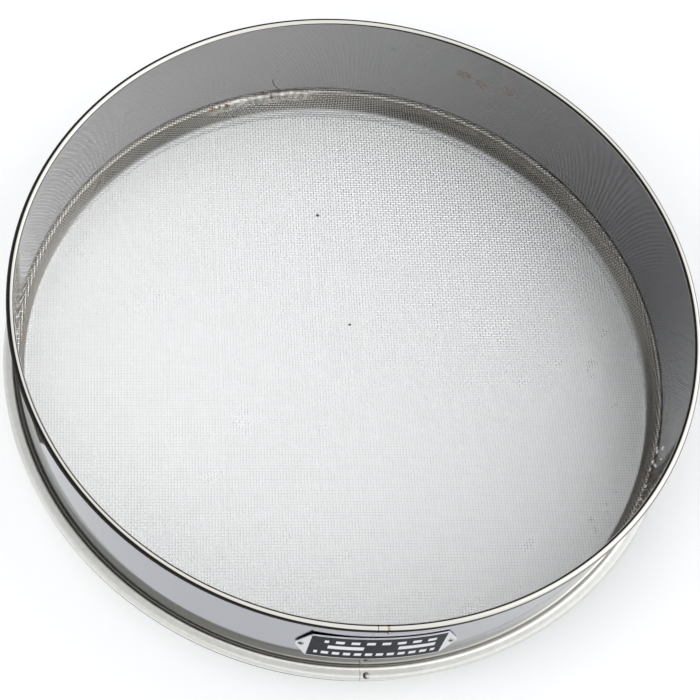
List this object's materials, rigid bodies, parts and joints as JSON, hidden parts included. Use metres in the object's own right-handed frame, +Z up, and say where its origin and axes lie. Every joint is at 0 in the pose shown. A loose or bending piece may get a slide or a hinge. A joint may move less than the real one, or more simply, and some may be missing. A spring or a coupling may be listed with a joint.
{
  "type": "drum sieve",
  "caption": "Round stainless drum sieve: a shell with a rolled rim and a folded foot grips a dished woven wire cloth, with a nesting skirt below and a riveted nameplate.",
  "frame": {"origin": "middle of the circle on which the skirt's lower edge stands", "axes": "+Z up along the sieve's axis, out of the open top; the nameplate faces -Y"},
  "size_m": [0.3122, 0.3122, 0.075],
  "materials": {
    "shell_steel": "satin stainless sheet with a polished rolled rim",
    "skirt_steel": "satin stainless sheet",
    "cloth_wire": "bright drawn stainless wire, plain weave",
    "hidden_wire": "drawn steel wire, not seen",
    "weld_metal": "ground weld metal with a brown heat tint",
    "solder": "tinned solder that fills the mesh, with a few brown flux spots",
    "plate_aluminium": "thin aluminium sheet with a black printed field",
    "rivet_aluminium": "dull aluminium"
  },
  "bodies": {
    "root": {"upper_shell": "shell_steel", "shell_seam_weld": "weld_metal", "rim_wire": "hidden_wire", "rim_weld_spot": "weld_metal", "fold_weld_spot": "weld_metal", "fold_hoop_wire": "hidden_wire", "skirt": "skirt_steel", "skirt_seam_weld": "weld_metal", "wire_cloth": "cloth_wire", "solder_band": "solder", "nameplate": "plate_aluminium", "rivet_left": "rivet_aluminium", "rivet_right": "rivet_aluminium"}
  },
  "joints": []
}
